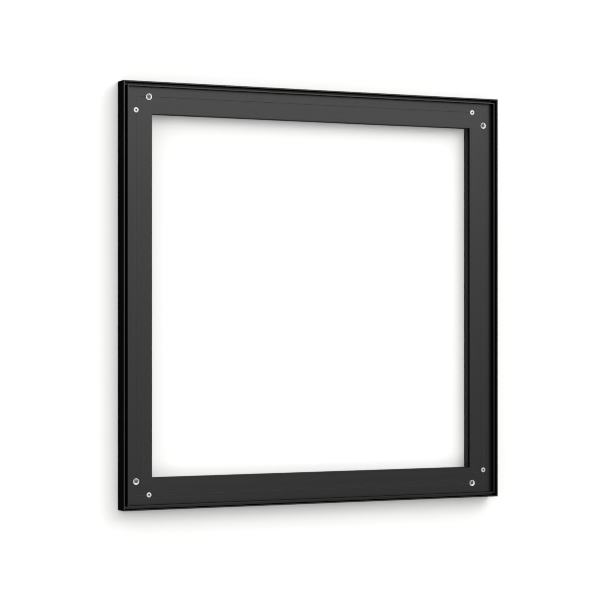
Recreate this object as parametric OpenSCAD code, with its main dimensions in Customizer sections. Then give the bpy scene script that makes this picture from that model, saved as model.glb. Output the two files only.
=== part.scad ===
// Square floating wall frame made of four identical mitred extrusions.
// X is to the right, Y goes into the wall and Z is up. The origin is at the
// centre of the frame on the wall plane, so everything lies at Y <= 0.

/* [Frame] */
// Outer side of the square frame
frame_side = 500; // [480:1:1200]
// Depth of the extrusion, front to back
rail_depth = 20; // [20:0.5:24]
// Width of the rail, from its outer side to the window
rail_width = 37.2; // [36:0.1:46]
// Gap that the bumpers keep between the rails and the wall
wall_gap = 1; // [0.5:0.1:3]

/* [Front of the rail] */
// Thickness of the outer wall
lip_t = 1.4; // [1.2:0.1:1.8]
// Width of the narrow front groove
groove_w = 3.5; // [3.1:0.1:3.8]
// Depth of the narrow front groove
groove_depth = 13; // [11:0.5:13]
// Thickness of the rib beside the groove
rib_t = 1.1; // [1:0.1:1.6]
// How far the plate lies behind the front edge
plate_recess = 6; // [5:0.5:6.5]
// Thickness of the plate, the back flange and the other walls
wall_t = 1.6; // [1.4:0.1:1.8]
// Distance of the guide line from the outer side
guide_s = 17.5; // [17.2:0.1:17.8]
// Width of the V guide line
guide_w = 0.4; // [0.3:0.1:1.2]

/* [Back of the rail] */
// Depth of the open channel on the window side
channel_depth = 5; // [4:0.1:5.5]
// Width of the rear slot
slot_w = 14; // [13:0.5:15]
// Width of the ledges that carry the corner bracket
ledge_w = 2.2; // [1.5:0.1:2.6]

/* [Corner joint] */
// Length of a bracket leg, from the frame's outer side
bracket_leg = 62; // [52:1:80]
// Distance of the corner fasteners from the end of their rail
fastener_end = 33.5; // [32:0.5:42]
// Diameter of the draw bush
bush_d = 7.5; // [7.2:0.1:8]
// Head diameter of the fixing screw
fixing_head_d = 5.9; // [5.6:0.1:6.1]

/* [Wall hangers] */
// Distance between the keyholes of the two hangers
hanger_spacing = 250; // [100:1:270]
// Length of a hanger
hanger_length = 46; // [42:1:56]
// Diameter that the head of the wall screw enters by
keyhole_d = 9; // [8:0.1:9.4]
// Width of the keyhole's neck
keyhole_neck = 4.4; // [4:0.1:5]

/* [Bumpers] */
// Diameter of a bumper's pad
bumper_d = 18; // [16:0.5:20]
// Distance of the bumpers from the corner of the frame
bumper_end = 60; // [45:1:120]

/* [Hidden] */
// Edge that each rail stands at and corner that each turn leads to, clockwise
SIDES = ["top", "right", "bottom", "left"];
CORNERS = ["top_left", "top_right", "bottom_right", "bottom_left"];
HANDS = ["left", "right"];
QUARTERS = [0, 1, 2, 3];

function named(prefix, names) = [for (n = names) str(prefix, n)];

half = frame_side / 2;

// Heights above the back of the rail
plate_face = rail_depth - plate_recess;
plate_under = plate_face - wall_t;
groove_floor = rail_depth - groove_depth;
floor_under = groove_floor - 1.5;

// Distances in from the outer side of the frame
rib_out = lip_t + groove_w;
rib_in = rib_out + rib_t;
bracket_w = 2 * (guide_s - rib_in);
bearing_s = rib_in + bracket_w;
web_in = rail_width - channel_depth;
web_out = web_in - 1.5;
guide_depth = guide_w / 2;

// Running clearance round a screw, and the play of the loose hidden parts
running = 0.05;
play = 0.15;

bracket_t = plate_under - groove_floor - 0.2;
m4_r = 2;
m3_r = 1.5;
hex_across = 2;
draw_screw_top = plate_face - 1.2;
draw_screw_length = 4.8;
bush_length = 3;
fixing_length = 6;
fixing_cone = fixing_head_d / 2 - m3_r;
hanger_t = 3;
hanger_w = slot_w + 7.6;
hanger_screw_x = hanger_length / 2 - 8;
hanger_screw_end = 2.2;
keyhole_s = guide_s + 1.7;
neck_s = guide_s - 4.1;

anodised = [0.09, 0.09, 0.095];
black_rubber = [0.05, 0.05, 0.05];

$fn = 48;

// ---- placing ----

// Turns a piece of the top left corner or the top rail a number of quarters clockwise
module turned(quarter) rotate([0, 90 * quarter, 0]) children();

// Height h above the back of the rails, with the children's +Z pointing to the front
module from_back(x, z, h = 0) translate([x, -wall_gap - h, z]) rotate([90, 0, 0]) children();

// A place on the guide line of the top rail, at a distance from the left end
module on_top_rail(along, h) from_back(along - half, half - guide_s, h) children();

// A place on the guide line of the left rail, at a distance from its upper end
module on_left_rail(along, h) from_back(guide_s - half, half - along, h) children();

// ---- shapes ----

// Section of the rail: distance in from the outer side, and height above the back
function rail_section() = [
    [0, rail_depth],
    [lip_t, rail_depth],
    [lip_t, groove_floor],
    [rib_out, groove_floor],
    [rib_out, rail_depth],
    [rib_in, rail_depth],
    [rib_in, plate_face],
    [guide_s - guide_w / 2, plate_face],
    [guide_s, plate_face - guide_depth],
    [guide_s + guide_w / 2, plate_face],
    [rail_width, plate_face],
    [rail_width, plate_under],
    [web_in, plate_under],
    [web_in, wall_t],
    [rail_width, wall_t],
    [rail_width, 0],
    [guide_s + slot_w / 2, 0],
    [guide_s + slot_w / 2, wall_t],
    [web_out, wall_t],
    [web_out, floor_under],
    [bearing_s - ledge_w, floor_under],
    [bearing_s - ledge_w, groove_floor],
    [bearing_s, groove_floor],
    [bearing_s, plate_under],
    [rib_in, plate_under],
    [rib_in, groove_floor],
    [rib_in + ledge_w, groove_floor],
    [rib_in + ledge_w, floor_under],
    [lip_t, floor_under],
    [lip_t, wall_t],
    [guide_s - slot_w / 2, wall_t],
    [guide_s - slot_w / 2, 0],
    [0, 0],
];

// Straight length of the section along the top edge
module rail_bar() {
    section = [for (p = rail_section()) [-wall_gap - p[1], half - p[0]]];
    rotate([90, 0, 90])
        linear_extrude(height = frame_side, center = true)
            polygon(section);
}

// Everything between the two diagonals above the centre: both mitres in one cut
module mitre_wedge() {
    reach = half + 1;
    rotate([90, 0, 0])
        linear_extrude(height = 4 * rail_depth, center = true)
            polygon([[0, 0], [reach, reach], [-reach, reach]]);
}

module hex_socket(depth) cylinder(d = hex_across / cos(30), h = depth, $fn = 6);

// ---- sub-parts, each in its place at the top left corner or along the top edge ----

module rail() color(anodised) difference() {
    intersection() {
        rail_bar();
        mitre_wedge();
    }
    on_top_rail(fastener_end, plate_under - 1)
        cylinder(d = bush_d, h = wall_t + 2);
    on_top_rail(frame_side - fastener_end, plate_under - 1)
        cylinder(r = m3_r + 0.1, h = wall_t + 2);
    on_top_rail(frame_side - fastener_end, plate_face - fixing_cone - running)
        cylinder(r1 = m3_r, r2 = fixing_head_d / 2 + running, h = fixing_cone + running);
}

module bracket() color("silver") difference() {
    near = rib_in + 0.1;
    far = bearing_s - 0.1;
    cut = 3;
    from_back(-half, half, plate_under - bracket_t)
        linear_extrude(height = bracket_t)
            polygon([
                [near + cut, -near],
                [bracket_leg, -near],
                [bracket_leg, -far],
                [far, -far],
                [far, -bracket_leg],
                [near, -bracket_leg],
                [near, -near - cut],
            ]);
    // Room for the bush, and the seat of the draw screw's cone point under it
    on_top_rail(fastener_end, plate_under - 1.5)
        cylinder(d = bush_d + 0.5, h = 2);
    on_top_rail(fastener_end, draw_screw_top - draw_screw_length + 1.5)
        cylinder(r = m4_r + 0.2, h = bracket_t);
    on_top_rail(fastener_end, draw_screw_top - draw_screw_length - 0.2)
        cylinder(r1 = 0.5, r2 = m4_r + 0.2, h = 1.7);
    on_left_rail(fastener_end, 0)
        cylinder(r = m3_r, h = plate_face);
}

// Press-in bush with a dished mouth, flush with the plate
module draw_bush() color("gainsboro") {
    mouth_r = bush_d / 2 - 0.6;
    bore_r = m4_r + running;
    dish = 0.7 * (mouth_r - bore_r);
    on_top_rail(fastener_end, plate_face - bush_length)
        rotate_extrude()
            polygon([
                [bore_r, 0],
                [bush_d / 2, 0],
                [bush_d / 2, bush_length],
                [mouth_r, bush_length],
                [bore_r, bush_length - dish],
            ]);
}

// Socket set screw with a cone point
module draw_screw() color("lightsteelblue") {
    chamfer = 0.35;
    on_top_rail(fastener_end, draw_screw_top - draw_screw_length)
        difference() {
            rotate_extrude()
                polygon([
                    [0, 0],
                    [0.4, 0],
                    [m4_r, m4_r - 0.4],
                    [m4_r, draw_screw_length - chamfer],
                    [m4_r - chamfer, draw_screw_length],
                    [0, draw_screw_length],
                ]);
            translate([0, 0, draw_screw_length - 2]) hex_socket(3);
        }
}

// Countersunk socket screw through the plate into the bracket
module fixing_screw() color("gainsboro") {
    on_left_rail(fastener_end, plate_face - fixing_length)
        difference() {
            rotate_extrude()
                polygon([
                    [0, 0],
                    [m3_r, 0],
                    [m3_r, fixing_length - fixing_cone],
                    [fixing_head_d / 2, fixing_length],
                    [0, fixing_length],
                ]);
            translate([0, 0, fixing_length - 1.2]) hex_socket(2);
        }
}

// Soft plug in the rear slot of the side rails, with a pad that meets the wall
module bumper() color(black_rubber) {
    neck_r = slot_w / 2 - 0.1;
    on_left_rail(bumper_end, -wall_gap)
        rotate_extrude()
            polygon([
                [0, 0],
                [bumper_d / 2 - 0.4, 0],
                [bumper_d / 2, 0.4],
                [bumper_d / 2, wall_gap],
                [neck_r, wall_gap],
                [neck_r, wall_gap + wall_t],
                [neck_r + 1.2, wall_gap + wall_t],
                [neck_r - 1, wall_gap + wall_t + 2.4],
                [0, wall_gap + wall_t + 2.4],
            ]);
}

// Keyhole plate that slides in the top rail's rear slot; hand is -1 left or 1 right
module hanger(hand) color("silver") {
    centre = hand * hanger_spacing / 2;
    back = wall_t + play;
    boss = 1.4;
    difference() {
        union() {
            from_back(centre, half - guide_s, back)
                translate([-hanger_length / 2, -hanger_w / 2, 0])
                    cube([hanger_length, hanger_w, hanger_t]);
            from_back(centre, half - guide_s, back - boss)
                translate([-hanger_length / 2, play - slot_w / 2, 0])
                    cube([hanger_length, slot_w - 2 * play, boss]);
        }
        from_back(centre, half - keyhole_s, 0)
            cylinder(d = keyhole_d, h = rail_depth);
        from_back(centre, half - neck_s, 0)
            cylinder(d = keyhole_neck, h = rail_depth);
        from_back(centre, half - keyhole_s, 0)
            translate([-keyhole_neck / 2, 0, 0])
                cube([keyhole_neck, keyhole_s - neck_s, rail_depth]);
        from_back(centre + hand * hanger_screw_x, half - guide_s, 0)
            cylinder(r = m4_r + running, h = rail_depth);
    }
}

// Socket set screw that clamps a hanger against the underside of the plate
module hanger_screw(hand) color("dimgray") {
    screw_length = plate_under - 0.2 - hanger_screw_end;
    chamfer = 0.35;
    from_back(hand * (hanger_spacing / 2 + hanger_screw_x), half - guide_s, hanger_screw_end)
        difference() {
            rotate_extrude()
                polygon([
                    [0, 0],
                    [m4_r - chamfer, 0],
                    [m4_r, chamfer],
                    [m4_r, screw_length - chamfer],
                    [m4_r - chamfer, screw_length],
                    [0, screw_length],
                ]);
            translate([0, 0, -1]) hex_socket(3);
        }
}

// ---- nodes ----

for (q = QUARTERS) {
    turned(q) rail();
    turned(q) bracket();
    turned(q) draw_bush();
    turned(q) draw_screw();
    turned(q) fixing_screw();
}
for (end = [0, 1]) {
    mirrored = [0, 0, end];
    mirror(mirrored) bumper();
    mirror([1, 0, 0]) mirror(mirrored) bumper();
}
for (h = [0, 1]) {
    hanger(2 * h - 1);
    hanger_screw(2 * h - 1);
}
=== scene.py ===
"""A square black floating frame that hangs on a white wall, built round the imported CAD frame.

Everything is in metres. X is to the right, Y goes into the wall and Z is up.
"""

import math

import bmesh
import bpy
from mathutils import Matrix, Vector


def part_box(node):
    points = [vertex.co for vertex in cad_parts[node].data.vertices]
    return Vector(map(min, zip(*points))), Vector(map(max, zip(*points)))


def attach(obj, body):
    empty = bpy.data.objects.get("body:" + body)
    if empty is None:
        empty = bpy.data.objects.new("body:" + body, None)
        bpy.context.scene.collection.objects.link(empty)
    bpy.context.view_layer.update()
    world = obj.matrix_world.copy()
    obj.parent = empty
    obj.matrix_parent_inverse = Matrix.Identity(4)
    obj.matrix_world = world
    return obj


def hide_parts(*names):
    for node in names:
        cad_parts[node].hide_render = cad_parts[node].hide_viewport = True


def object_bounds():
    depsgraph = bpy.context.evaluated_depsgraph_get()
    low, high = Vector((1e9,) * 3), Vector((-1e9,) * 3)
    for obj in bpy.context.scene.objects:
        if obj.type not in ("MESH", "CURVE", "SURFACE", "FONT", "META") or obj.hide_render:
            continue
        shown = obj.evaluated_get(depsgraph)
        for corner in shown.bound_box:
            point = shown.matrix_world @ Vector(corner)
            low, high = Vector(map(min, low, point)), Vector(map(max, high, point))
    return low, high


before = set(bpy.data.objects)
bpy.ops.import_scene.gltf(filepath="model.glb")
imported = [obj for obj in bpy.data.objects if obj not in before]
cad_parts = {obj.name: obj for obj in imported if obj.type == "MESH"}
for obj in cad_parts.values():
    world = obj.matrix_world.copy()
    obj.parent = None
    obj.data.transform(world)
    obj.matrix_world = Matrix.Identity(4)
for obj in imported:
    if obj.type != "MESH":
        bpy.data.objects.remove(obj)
cad_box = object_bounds()

MM = 0.001
SIDES = ("top", "right", "bottom", "left")
CORNERS = ("top_left", "top_right", "bottom_right", "bottom_left")
HANDS = ("left", "right")

LOW, HIGH = cad_box
SIDE = HIGH.x - LOW.x


def add_object(name, data):
    thing = bpy.data.objects.new(name, data)
    bpy.context.scene.collection.objects.link(thing)
    return thing


# ---- camera and lights ----

CAMERA_PLACE = Vector((-2.188, -4.629, -0.065)) * SIDE
CAMERA_YAW = 25.13
CAMERA_LENS = 124.05
CAMERA_SHIFT_UP = 0.0306

# The dome's light goes by direction, a vector of length 1. It is DOME_LOW where Z is below
# -DOME_RISE, and DOME_HIGH where Z is above DOME_RISE. It fades out as Y goes from -DOME_FADE
# to 0, so that none comes from behind the frame.
DOME_LOW = 0.28
DOME_HIGH = 1.34
DOME_RISE = 0.15
DOME_FADE = 0.12
# What the camera sees beyond the wall and the floor
BACKDROP = (0.86, 0.87, 0.88, 1)

# Soft square lights that face the frame's centre: azimuth, elevation, side and power
LIGHT_DISTANCE = 3.0
SOFTBOXES = (
    ("front", -10, 0, 1.6, 12),
    ("front_low", -10, -40, 1.6, 16),
    ("upper_right", 24, 30, 1.6, 16),
    ("right", 50, 30, 1.6, 13),
    ("right_high", 50, 55, 1.6, 10),
    ("left", -70, 0, 1.6, 16),
    ("back", 150, 0, 3.0, 45),
    ("back_high", 170, 62, 2.2, 26),
)


def make_camera():
    data = bpy.data.cameras.new("camera")
    data.lens = CAMERA_LENS
    data.sensor_width = 36.0
    data.shift_y = CAMERA_SHIFT_UP
    data.clip_end = 100.0
    camera = add_object("camera", data)
    camera.location = CAMERA_PLACE
    camera.rotation_euler = (math.radians(90), 0, math.radians(-CAMERA_YAW))
    bpy.context.scene.camera = camera


def around(azimuth, elevation, distance):
    """A place round the frame: azimuth 0 is in front, 90 is to the right."""
    a, e = math.radians(azimuth), math.radians(elevation)
    return Vector((math.sin(a) * math.cos(e), -math.cos(a) * math.cos(e), math.sin(e))) * distance


def make_lights():
    for name, azimuth, elevation, side, power in SOFTBOXES:
        data = bpy.data.lights.new(name, "AREA")
        data.shape = "SQUARE"
        data.size = side
        data.energy = power
        light = add_object(name, data)
        light.location = around(azimuth, elevation, LIGHT_DISTANCE)
        light.rotation_euler = (-light.location).to_track_quat("-Z", "Y").to_euler()
        light.visible_camera = False


def set_range(node, start, end, low, high):
    """Makes a Map Range node turn start to end into low to high."""
    sockets = ("From Min", "From Max", "To Min", "To Max")
    for socket, number in zip(sockets, (start, end, low, high)):
        node.inputs[socket].default_value = number


def make_world():
    """A dome that lights the scene from the front only and more from above, pale to the camera."""
    world = bpy.data.worlds.new("studio")
    world.use_nodes = True
    tree = world.node_tree
    tree.nodes.clear()
    place = tree.nodes.new("ShaderNodeTexCoord")
    direction = tree.nodes.new("ShaderNodeSeparateXYZ")
    tree.links.new(place.outputs["Generated"], direction.inputs[0])

    def grade(axis, *limits):
        node = tree.nodes.new("ShaderNodeMapRange")
        node.interpolation_type = "SMOOTHSTEP"
        set_range(node, *limits)
        tree.links.new(direction.outputs[axis], node.inputs["Value"])
        return node.outputs["Result"]

    strength = tree.nodes.new("ShaderNodeMath")
    strength.operation = "MULTIPLY"
    tree.links.new(grade("Y", -DOME_FADE, 0.0, 1.0, 0.0), strength.inputs[0])
    tree.links.new(grade("Z", -DOME_RISE, DOME_RISE, DOME_LOW, DOME_HIGH), strength.inputs[1])
    dome = tree.nodes.new("ShaderNodeBackground")
    tree.links.new(strength.outputs[0], dome.inputs["Strength"])
    seen = tree.nodes.new("ShaderNodeBackground")
    seen.inputs["Color"].default_value = BACKDROP
    path = tree.nodes.new("ShaderNodeLightPath")
    mix = tree.nodes.new("ShaderNodeMixShader")
    output = tree.nodes.new("ShaderNodeOutputWorld")
    tree.links.new(path.outputs["Is Camera Ray"], mix.inputs["Fac"])
    tree.links.new(dome.outputs[0], mix.inputs[1])
    tree.links.new(seen.outputs[0], mix.inputs[2])
    tree.links.new(mix.outputs[0], output.inputs["Surface"])
    bpy.context.scene.world = world


# ---- materials ----

NOISE_ROUGHNESS = 0.55
LATHE_RINGS = 5200.0
ANODISED_IOR = 1.58


class Nodes:
    """A material's node tree with its Principled shader, and short ways to add to it.

    Patterns lie in the object's own coordinates. A scale is how often one repeats in a metre,
    either one number or one for each axis.
    """

    def __init__(self, name, colour, roughness, metallic=0.0, specular=0.5):
        self.material = bpy.data.materials.new(name)
        self.material.use_nodes = True
        self.tree = self.material.node_tree
        self.shader = self.tree.nodes["Principled BSDF"]
        self.set("Base Color", (*colour, 1))
        self.set("Roughness", roughness)
        self.set("Metallic", metallic)
        self.set("Specular IOR Level", specular)

    def set(self, socket, value):
        self.shader.inputs[socket].default_value = value

    def add(self, kind, **values):
        """A new node. Each value is for the socket of that name, or else for the node itself."""
        node = self.tree.nodes.new(kind)
        for key, value in values.items():
            if key in node.inputs:
                node.inputs[key].default_value = value
            else:
                setattr(node, key, value)
        return node

    def link(self, source, target):
        self.tree.links.new(source, target)

    def drive(self, socket, output):
        self.link(output, self.shader.inputs[socket])

    def place(self, scale):
        if isinstance(scale, float):
            scale = (scale,) * 3
        own = self.add("ShaderNodeTexCoord")
        mapping = self.add("ShaderNodeMapping", Scale=scale)
        self.link(own.outputs["Object"], mapping.inputs["Vector"])
        return mapping.outputs["Vector"]

    def noise(self, scale, detail):
        texture = self.add(
            "ShaderNodeTexNoise", Scale=1.0, Detail=detail, Roughness=NOISE_ROUGHNESS
        )
        self.link(self.place(scale), texture.inputs["Vector"])
        return texture.outputs["Fac"]

    def ramp(self, value, low, high, start=0.3, end=0.7):
        """value, from start to end, becomes low to high."""
        mapped = self.add("ShaderNodeMapRange")
        set_range(mapped, start, end, low, high)
        self.link(value, mapped.inputs["Value"])
        return mapped.outputs["Result"]

    def tint(self, value, dark, light):
        """Colours the surface from dark, where value is 0, to light, where it is 1."""
        mix = self.add("ShaderNodeMix", data_type="RGBA")
        mix.inputs["A"].default_value = (*dark, 1)
        mix.inputs["B"].default_value = (*light, 1)
        self.link(value, mix.inputs["Factor"])
        self.drive("Base Color", mix.outputs["Result"])

    def bump(self, *layers):
        """Each layer is a height output, its strength and its depth in metres."""
        normal = None
        for height, strength, depth in layers:
            node = self.add("ShaderNodeBump", Strength=strength, Distance=depth)
            self.link(height, node.inputs["Height"])
            if normal is not None:
                self.link(normal, node.inputs["Normal"])
            normal = node.outputs["Normal"]
        self.drive("Normal", normal)


def scale_along(axis, along, across):
    """A scale with one number along an axis, 0 for X or 2 for Z, and another across it."""
    scale = [across] * 3
    scale[axis] = along
    return scale


def anodised(name, axis, dark, light, specular):
    """Satin black anodised extrusion, with fine die lines along one axis. The colours given to it
    also make the rails' painted light on deep front faces and painted shade on inner walls.
    """
    m = Nodes(name, dark, 0.3, specular=specular)
    m.set("IOR", ANODISED_IOR)
    lines = m.noise(scale_along(axis, 9.0, 6500.0), detail=3.0)
    bands = m.noise(scale_along(axis, 3.0, 900.0), detail=2.0)
    grain = m.noise(9000.0, detail=2.0)
    cloud = m.noise(14.0, detail=5.0)
    m.tint(m.ramp(cloud, 0, 1), dark, light)
    m.drive("Roughness", m.ramp(bands, 0.27, 0.33))
    m.bump((lines, 0.08, 0.02 * MM), (grain, 0.1, 0.01 * MM))
    return m.material


def turned_metal(name, dark, light, roughness):
    """Plated steel turned on a lathe: fine rings round the piece's own Z axis, faint stains."""
    m = Nodes(name, light, roughness, metallic=1.0)
    wave = m.add(
        "ShaderNodeTexWave",
        wave_type="RINGS",
        rings_direction="Z",
        Scale=1.0,
        Distortion=1.5,
        Detail=2.0,
    )
    m.link(m.place(LATHE_RINGS), wave.inputs["Vector"])
    stain = m.noise(900.0, detail=6.0)
    m.tint(m.ramp(stain, 0, 1), dark, light)
    m.drive("Roughness", m.ramp(stain, roughness - 0.05, roughness + 0.08))
    m.bump((wave.outputs["Fac"], 0.15, 0.02 * MM), (stain, 0.1, 0.03 * MM))
    return m.material


def mill_alloy(name):
    """Bare aluminium strip: rolling lines and small dents."""
    m = Nodes(name, (0.62, 0.63, 0.65), 0.34, metallic=1.0)
    lines = m.noise((60.0, 60.0, 4200.0), detail=4.0)
    dents = m.noise(420.0, detail=5.0)
    m.tint(m.ramp(dents, 0, 1), (0.5, 0.51, 0.53), (0.7, 0.71, 0.72))
    m.drive("Roughness", m.ramp(lines, 0.28, 0.46))
    m.bump((lines, 0.2, 0.05 * MM), (dents, 0.15, 0.1 * MM))
    return m.material


def galvanised(name):
    """Zinc coated steel strip: the zinc's crystals, and scratches along X."""
    m = Nodes(name, (0.6, 0.62, 0.64), 0.38, metallic=1.0)
    crystals = m.add("ShaderNodeTexVoronoi", feature="F1", Scale=1.0)
    m.link(m.place(420.0), crystals.inputs["Vector"])
    grey = m.add("ShaderNodeRGBToBW")
    m.link(crystals.outputs["Color"], grey.inputs["Color"])
    level = grey.outputs["Val"]
    scratches = m.noise((150.0, 6000.0, 6000.0), detail=3.0)
    m.tint(level, (0.3, 0.31, 0.33), (0.58, 0.6, 0.62))
    m.drive("Roughness", m.ramp(level, 0.3, 0.55, start=0, end=1))
    m.bump((scratches, 0.15, 0.04 * MM), (level, 0.08, 0.05 * MM))
    return m.material


def black_oxide(name):
    """Blackened steel, with stains that are a little paler and rougher."""
    m = Nodes(name, (0.035, 0.035, 0.04), 0.4, metallic=0.6)
    stain = m.noise(1500.0, detail=4.0)
    m.tint(m.ramp(stain, 0, 1), (0.02, 0.02, 0.024), (0.06, 0.055, 0.055))
    m.drive("Roughness", m.ramp(stain, 0.32, 0.5))
    m.bump((stain, 0.1, 0.02 * MM))
    return m.material


def rubber(name):
    """Soft moulded black rubber with a fine matt grain and a little dust."""
    m = Nodes(name, (0.02, 0.02, 0.02), 0.8, specular=0.3)
    grain = m.noise(5200.0, detail=3.0)
    dust = m.noise(260.0, detail=7.0)
    m.tint(m.ramp(dust, 0, 1, start=0.5, end=0.8), (0.018, 0.018, 0.018), (0.05, 0.048, 0.045))
    m.drive("Roughness", m.ramp(dust, 0.72, 0.9))
    m.bump((grain, 0.4, 0.04 * MM))
    return m.material


def one_sided_white(name):
    """Matt white that only its front shows, so that the wall doesn't hide the frame's back."""
    m = Nodes(name, (0.95, 0.945, 0.93), 1.0, specular=0.0)
    facing = m.add("ShaderNodeNewGeometry")
    clear = m.add("ShaderNodeBsdfTransparent")
    mix = m.add("ShaderNodeMixShader")
    m.link(facing.outputs["Backfacing"], mix.inputs["Fac"])
    m.link(m.shader.outputs[0], mix.inputs[1])
    m.link(clear.outputs[0], mix.inputs[2])
    m.link(mix.outputs[0], m.tree.nodes["Material Output"].inputs["Surface"])
    return m.material


def pale_floor(name):
    """Matt and pale, with a little light of its own, since half of the dome is dark."""
    m = Nodes(name, (0.8, 0.8, 0.79), 0.8)
    m.set("Emission Color", (1, 1, 0.99, 1))
    m.set("Emission Strength", 0.22)
    return m.material


# Surfaces of a rail: darkest and lightest colour, and specular level. Two of them are painted
# light, far paler than the satin black for light that the depth keeps off, and one is painted
# shade, darker and without reflection.
RAIL_SURFACES = {
    "satin_black": ((0.0035, 0.0035, 0.0037), (0.0045, 0.0045, 0.0046), 0.5),
    # Painted light: the floors of the groove and the channel, paler for light that their depth
    # keeps off them
    "groove_painted_light": ((0.056, 0.056, 0.057), (0.071, 0.071, 0.073), 0.5),
    "channel_painted_light": ((0.050, 0.050, 0.051), (0.064, 0.064, 0.066), 0.5),
    # Painted shade: the inner side walls, darker than the satin black and without reflection
    "inner_wall_painted_shade": ((0.0015, 0.0015, 0.0016), (0.0025, 0.0025, 0.0026), 0.0),
    "worn_edge": ((0.004, 0.004, 0.004), (0.010, 0.010, 0.010), 0.5),
}
# The rails' materials, by the axis that the rail lies along
RAIL_FINISHES = {
    along: [anodised(f"{name}_{along}", axis, *look) for name, look in RAIL_SURFACES.items()]
    for along, axis in (("x", 0), ("z", 2))
}
FINISH = {
    "bush": turned_metal("bush_zinc", (0.6, 0.62, 0.66), (0.72, 0.74, 0.78), 0.42),
    "draw_screw": turned_metal("screw_blue_steel", (0.24, 0.265, 0.31), (0.34, 0.365, 0.41), 0.42),
    "fixing_screw": turned_metal("screw_satin_nickel", (0.6, 0.6, 0.6), (0.7, 0.7, 0.7), 0.55),
    # Painted shade: this colour goes inside the sockets and the bushes' bores, for the shade in
    # them
    "socket": turned_metal("socket_painted_shade", (0.12, 0.125, 0.14), (0.2, 0.205, 0.22), 0.5),
    "bracket": mill_alloy("bracket_alloy"),
    "hanger": galvanised("hanger_galvanised"),
    "hanger_screw": black_oxide("hanger_screw_black_oxide"),
    "bumper": rubber("bumper_rubber"),
}


# ---- rails, brackets and hangers: the CAD shape with finished edges ----

RAIL_EDGE = 0.12 * MM
BRACKET_EDGE = 0.25 * MM
HANGER_EDGE = 0.2 * MM
EDGE_SEGMENTS = 2

# Faces that meet at less than FLAT are merged, edges above CORNER are rounded, and edges that
# are still above CREASE afterwards are shaded sharp
FLAT = math.radians(0.5)
CORNER = math.radians(25)
CREASE = math.radians(50)

# Points nearer to each other than MERGE are one, and points this near to a diagonal are on it
MERGE = 1e-6
ON_DIAGONAL = 1e-5

# Faces behind RECESS_Y lie in a groove or channel, in the groove if within GROOVE_REACH of the
# frame's outer side; those that face the front there get painted light. Faces within SKIN of it
# are the side itself; sideways faces further in get painted shade.
RECESS_Y = -10 * MM
GROOVE_REACH = 8 * MM
SKIN = 0.1 * MM


def add_piece(name, bm, materials, node):
    """Turns a bmesh into a piece that stands for a CAD node."""
    mesh = bpy.data.meshes.new(name)
    bm.to_mesh(mesh)
    bm.free()
    for material in materials:
        mesh.materials.append(material)
    for polygon in mesh.polygons:
        polygon.use_smooth = True
    piece = add_object(name, mesh)
    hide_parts(node)
    return piece


def even_normals(piece, weight=50):
    """Lets the larger faces set the shading, the more so the higher the weight, up to 100."""
    even = piece.modifiers.new("even_normals", "WEIGHTED_NORMAL")
    even.weight = weight
    even.keep_sharp = True


def refined(node, name, edge_width, materials, body, is_cut=None, pick=None):
    """The CAD node's shape with its triangles merged into clean faces and its edges rounded.

    Edges for which is_cut says True, such as those of a mitre, stay sharp. The rounded edges get
    the last material, and the other faces the one whose number pick gives, or else the first.
    """
    bm = bmesh.new()
    bm.from_mesh(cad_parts[node].data)
    bmesh.ops.remove_doubles(bm, verts=bm.verts, dist=MERGE)
    bmesh.ops.dissolve_limit(bm, angle_limit=FLAT, verts=bm.verts, edges=bm.edges)
    if pick:
        for face in bm.faces:
            face.material_index = pick(face)
    rounded = [
        edge
        for edge in bm.edges
        if len(edge.link_faces) == 2
        and edge.calc_face_angle(0) > CORNER
        and not (is_cut and is_cut(edge))
    ]
    bmesh.ops.bevel(
        bm,
        geom=rounded,
        offset=edge_width,
        offset_type="OFFSET",
        segments=EDGE_SEGMENTS,
        profile=0.5,
        affect="EDGES",
        clamp_overlap=True,
        material=len(materials) - 1,
        loop_slide=True,
    )
    for edge in bm.edges:
        edge.smooth = len(edge.link_faces) == 2 and edge.calc_face_angle(0) < CREASE
    piece = add_piece(name, bm, materials, node)
    even_normals(piece, weight=100)
    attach(piece, body)


def on_mitre(edge):
    """True if both ends of an edge lie on one of the frame's diagonals."""
    return all(abs(abs(v.co.x) - abs(v.co.z)) < ON_DIAGONAL for v in edge.verts)


def rail_surface(face):
    """The number of a rail face's surface, by its direction, depth and distance from the side.
    Deep front faces get painted light and inner side walls painted shade.
    """
    middle = face.calc_center_median()
    inset = SIDE / 2 - max(abs(middle.x), abs(middle.z))
    faces_front = face.normal.y < -0.99
    faces_sideways = abs(face.normal.y) < 0.1
    surface = "satin_black"
    if faces_front and middle.y > RECESS_Y:
        # Painted light: front faces deep in the groove or channel get the pale colours
        surface = "groove_painted_light" if inset < GROOVE_REACH else "channel_painted_light"
    elif faces_sideways and inset > SKIN:
        # Painted shade: inner side walls get the darker colour
        surface = "inner_wall_painted_shade"
    return list(RAIL_SURFACES).index(surface)


def make_rails():
    for side in SIDES:
        refined(
            "rail_" + side,
            f"rail_{side}_extrusion",
            RAIL_EDGE,
            RAIL_FINISHES["x" if side in ("top", "bottom") else "z"],
            "frame",
            is_cut=on_mitre,
            pick=rail_surface,
        )


def make_brackets():
    for corner in CORNERS:
        node = "bracket_" + corner
        finishes = (FINISH["bracket"],)
        refined(node, f"{node}_plate", BRACKET_EDGE, finishes, "frame")


def make_hangers():
    for hand in HANDS:
        node = "hanger_" + hand
        finishes = (FINISH["hanger"],)
        refined(node, f"{node}_plate", HANGER_EDGE, finishes, node)


# ---- turned pieces: rings of points round the piece's own Z axis, stacked and skinned ----

TURN_SEGMENTS = 48

# Depth of a thread as a share of its pitch, the slope of its flanks, its rings per turn, and how
# far from the next edge it starts
THREAD_DEPTH = 0.54
THREAD_FLANK = 1.25
THREAD_STEPS = 8
THREAD_GAP = 0.05 * MM

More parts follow.
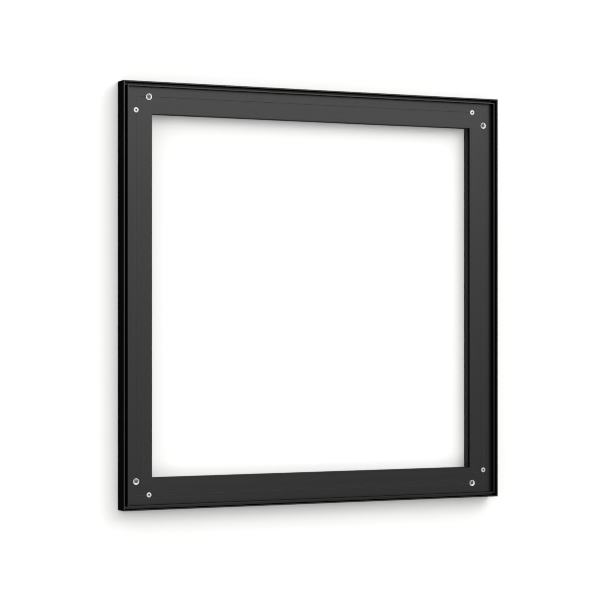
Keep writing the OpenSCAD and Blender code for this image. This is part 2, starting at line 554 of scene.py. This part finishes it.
M4_RADIUS = 2.0 * MM
M4_PITCH = 0.7 * MM
M3_RADIUS = 1.5 * MM
M3_PITCH = 0.5 * MM

# Hexagon sockets: width, depths in M4 and M3 screws, chamfer, and how many bands of faces, which
# get the socket colour as painted shade
HEX = 2.0 * MM
M4_SOCKET = 1.8 * MM
M3_SOCKET = 1.1 * MM
SOCKET_LEAD = 0.12 * MM
SOCKET_BANDS = 5

BORE_CLEARANCE = 0.05 * MM


def round_ring(radius, z):
    return [(radius, z)] * TURN_SEGMENTS


def hex_ring(across_flats, z):
    """A ring on a hexagon, with corners at every sixth of a turn."""
    ring = []
    for i in range(TURN_SEGMENTS):
        angle = (i * 360 / TURN_SEGMENTS) % 60 - 30
        ring.append((across_flats / 2 / math.cos(math.radians(angle)), z))
    return ring


def thread_rings(radius, pitch, low, high):
    """Rings that follow a helical thread, which fades out over the last turn at both ends."""
    depth = THREAD_DEPTH * pitch
    count = round((high - low) / pitch * THREAD_STEPS)
    rings = []
    for k in range(count + 1):
        z = low + (high - low) * k / count
        fade = min(1.0, (z - low) / pitch, (high - z) / pitch)
        ring = []
        for i in range(TURN_SEGMENTS):
            phase = (z / pitch - i / TURN_SEGMENTS) % 1.0
            flank = min(1.0, abs(2 * phase - 1) * THREAD_FLANK)
            ring.append((radius - depth * fade * (1 - flank), z))
        rings.append(ring)
    return rings


def socket_rings(mouth, depth):
    """A hexagon socket with a broached bottom, from its chamfered mouth at height mouth."""
    bottom = mouth - depth
    return [
        round_ring(HEX * 0.62, mouth),
        hex_ring(HEX, mouth - SOCKET_LEAD),
        hex_ring(HEX, mouth - depth * 0.5),
        hex_ring(HEX, bottom),
        round_ring(HEX * 0.42, bottom - 0.02 * MM),
        round_ring(HEX * 0.1, bottom - 0.25 * MM),
    ]


def add_cap(bm, points, z, material_index):
    """Closes a ring of points with triangles round its middle."""
    middle = bm.verts.new((0, 0, z))
    for i in range(TURN_SEGMENTS):
        face = bm.faces.new((points[i], points[(i + 1) % TURN_SEGMENTS], middle))
        face.material_index = material_index


def turned_bmesh(rings, dark_bands=0, loop=False):
    """Skins a stack of rings, which loops back to its first ring or has a cap at both ends.

    The last dark_bands bands between rings get material 1, the socket colour that is painted
    shade, and so does the cap after them.
    """
    bm = bmesh.new()
    skins = []
    for ring in rings:
        points = []
        for i, (radius, z) in enumerate(ring):
            angle = 2 * math.pi * i / TURN_SEGMENTS
            points.append(bm.verts.new((radius * math.cos(angle), radius * math.sin(angle), z)))
        skins.append(points)
    bands = list(zip(skins, skins[1:]))
    if loop:
        bands.append((skins[-1], skins[0]))
    for k, (lower, upper) in enumerate(bands):
        for i in range(TURN_SEGMENTS):
            j = (i + 1) % TURN_SEGMENTS
            face = bm.faces.new((lower[i], lower[j], upper[j], upper[i]))
            face.material_index = int(k >= len(bands) - dark_bands)
    if not loop:
        add_cap(bm, skins[0], rings[0][0][1], 0)
        add_cap(bm, skins[-1], rings[-1][0][1], int(dark_bands > 0))
    bmesh.ops.recalc_face_normals(bm, faces=bm.faces)
    return bm


def turned_size(node):
    """The largest radius and the length of a CAD node that lies along Y."""
    low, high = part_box(node)
    return (high.x - low.x) / 2, high.y - low.y


def turned_piece(name, node, rings, finish, body, slot, flip=False, **shape):
    """A turned piece in its CAD node's place.

    Its heights start at the node's end towards the wall and go forwards. If flip is set, they
    start at the front end and go towards the wall.
    """
    low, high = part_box(node)
    # The second material is painted shade for the sockets and bores
    finishes = (FINISH[finish], FINISH["socket"])
    piece = add_piece(name, turned_bmesh(rings, **shape), finishes, node)
    middle = (low + high) / 2
    start = Vector((middle.x, low.y if flip else high.y, middle.z))
    turn = math.radians(-90 if flip else 90)
    piece.matrix_world = Matrix.Translation(start) @ Matrix.Rotation(turn, 4, "X")
    even_normals(piece)
    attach(piece, body)


def make_draw_bushes():
    """Threaded bushes with a rounded rim and a dished face. The bore is the band painted darker as
    painted shade.
    """
    for corner in CORNERS:
        node = "draw_bush_" + corner
        outer, length = turned_size(node)
        bore = M4_RADIUS + BORE_CLEARANCE
        mouth = outer - 0.6 * MM
        dish = 0.7 * (mouth - bore)
        edge = 0.08 * MM
        rings = [
            round_ring(bore, 0),
            round_ring(outer - 2 * edge, 0),
            round_ring(outer, 2 * edge),
            round_ring(outer, length - edge),
            round_ring(outer - 0.3 * edge, length - 0.3 * edge),
            round_ring(outer - edge, length),
            round_ring(mouth + edge, length),
            round_ring(mouth - 0.1 * edge, length - 0.3 * edge),
            round_ring(mouth - edge, length - 1.2 * edge),
            round_ring((mouth + bore) / 2, length - dish / 2),
            round_ring(bore + edge, length - dish + edge),
            round_ring(bore, length - dish - edge),
        ]
        turned_piece(
            f"{node}_turned", node, rings, "bush", "frame", "bush_zinc", dark_bands=1, loop=True
        )


def make_draw_screws():
    """Set screws with a cone point and a hexagon socket."""
    for corner in CORNERS:
        node = "draw_screw_" + corner
        _, length = turned_size(node)
        tip, chamfer = 0.4 * MM, 0.35 * MM
        cone = M4_RADIUS - tip
        rings = [
            round_ring(tip, 0),
            round_ring(M4_RADIUS, cone),
            *thread_rings(M4_RADIUS, M4_PITCH, cone + THREAD_GAP, length - chamfer),
            round_ring(M4_RADIUS - chamfer, length),
            round_ring(HEX * 0.7, length),
            *socket_rings(length, M4_SOCKET),
        ]
        turned_piece(
            f"{node}_turned",
            node,
            rings,
            "draw_screw",
            node,
            "screw_steel",
            dark_bands=SOCKET_BANDS,
        )


def make_fixing_screws():
    """Countersunk screws with a rounded rim and a hexagon socket."""
    for corner in CORNERS:
        node = "fixing_screw_" + corner
        head, length = turned_size(node)
        neck = length - (head - M3_RADIUS)
        chamfer, rim = 0.25 * MM, 0.1 * MM
        rings = [
            round_ring(M3_RADIUS - chamfer, 0),
            round_ring(M3_RADIUS, chamfer),
            *thread_rings(M3_RADIUS, M3_PITCH, chamfer + THREAD_GAP, neck - 2 * THREAD_GAP),
            round_ring(M3_RADIUS, neck),
            round_ring(head - rim, length - rim),
            round_ring(head, length - rim * 0.6),
            round_ring(head - rim * 0.2, length - rim * 0.15),
            round_ring(head - rim, length),
            round_ring(HEX * 0.75, length),
            *socket_rings(length, M3_SOCKET),
        ]
        turned_piece(
            f"{node}_turned",
            node,
            rings,
            "fixing_screw",
            "frame",
            "screw_zinc",
            dark_bands=SOCKET_BANDS,
        )


def make_hanger_screws():
    """Set screws with a flat point, whose sockets face the wall."""
    for hand in HANDS:
        node = "hanger_screw_" + hand
        _, length = turned_size(node)
        chamfer = 0.35 * MM
        rings = [
            round_ring(M4_RADIUS - chamfer, 0),
            round_ring(M4_RADIUS, chamfer),
            *thread_rings(M4_RADIUS, M4_PITCH, chamfer + THREAD_GAP, length - chamfer),
            round_ring(M4_RADIUS - chamfer, length),
            round_ring(HEX * 0.7, length),
            *socket_rings(length, M4_SOCKET),
        ]
        turned_piece(
            f"{node}_turned",
            node,
            rings,
            "hanger_screw",
            node,
            "black_oxide_steel",
            flip=True,
            dark_bands=SOCKET_BANDS,
        )


def make_bumpers():
    """Rubber plugs with a rounded pad, a shallow cup in its face and a barbed neck."""
    for corner in CORNERS:
        node = "bumper_" + corner
        pad, length = turned_size(node)
        pad_t = 1.0 * MM
        neck, barb, flange = 6.9 * MM, 8.1 * MM, 1.6 * MM
        top = length - pad_t
        rings = [
            round_ring(neck - 1.6 * MM, 0),
            round_ring(neck - 1.1 * MM, 0.25 * MM),
            round_ring(barb - 0.15 * MM, top - flange - 0.3 * MM),
            round_ring(barb, top - flange - 0.1 * MM),
            round_ring(barb - 0.1 * MM, top - flange),
            round_ring(neck, top - flange),
            round_ring(neck, top),
            round_ring(pad - 0.1 * MM, top),
            round_ring(pad, top + 0.15 * MM),
            round_ring(pad, top + pad_t * 0.5),
            round_ring(pad - 0.15 * MM, top + pad_t * 0.85),
            round_ring(pad - 0.5 * MM, length),
            round_ring(pad * 0.62, length),
            round_ring(pad * 0.56, length - 0.25 * MM),
            round_ring(pad * 0.2, length - 0.45 * MM),
        ]
        turned_piece(f"{node}_plug", node, rings, "bumper", "frame", "bumper_rubber", flip=True)


# ---- the stage ----

WALL_GAP = 0.4 * MM
WALL_REACH = 4.0
WALL_TOP = 3.0
FLOOR_Z = -1.1
FLOOR_REACH = 12.0


def make_plane(name, corners, material):
    """A rectangle of the stage, which only the camera sees and which casts no shadow."""
    mesh = bpy.data.meshes.new(name)
    mesh.from_pydata(corners, [], [(0, 1, 2, 3)])
    mesh.materials.append(material)
    plane = add_object(name, mesh)
    plane.visible_diffuse = False
    plane.visible_glossy = False
    plane.visible_transmission = False
    plane.visible_shadow = False


def make_stage():
    """A white wall that the frame hangs on, and a plain pale floor."""
    y = HIGH.y + WALL_GAP
    wall = [
        (-WALL_REACH, y, FLOOR_Z),
        (WALL_REACH, y, FLOOR_Z),
        (WALL_REACH, y, WALL_TOP),
        (-WALL_REACH, y, WALL_TOP),
    ]
    floor = [
        (-FLOOR_REACH, -FLOOR_REACH, FLOOR_Z),
        (FLOOR_REACH, -FLOOR_REACH, FLOOR_Z),
        (FLOOR_REACH, FLOOR_REACH, FLOOR_Z),
        (-FLOOR_REACH, FLOOR_REACH, FLOOR_Z),
    ]
    make_plane("wall", wall, one_sided_white("wall_white"))
    make_plane("floor", floor, pale_floor("floor_pale"))


make_camera()
make_world()
make_lights()
make_stage()
make_rails()
make_brackets()
make_hangers()
make_draw_bushes()
make_draw_screws()
make_fixing_screws()
make_hanger_screws()
make_bumpers()

# Colours as they are lit, and edges as crisp as the photo's
bpy.context.scene.view_settings.view_transform = "Standard"
bpy.context.scene.cycles.filter_width = 1.0
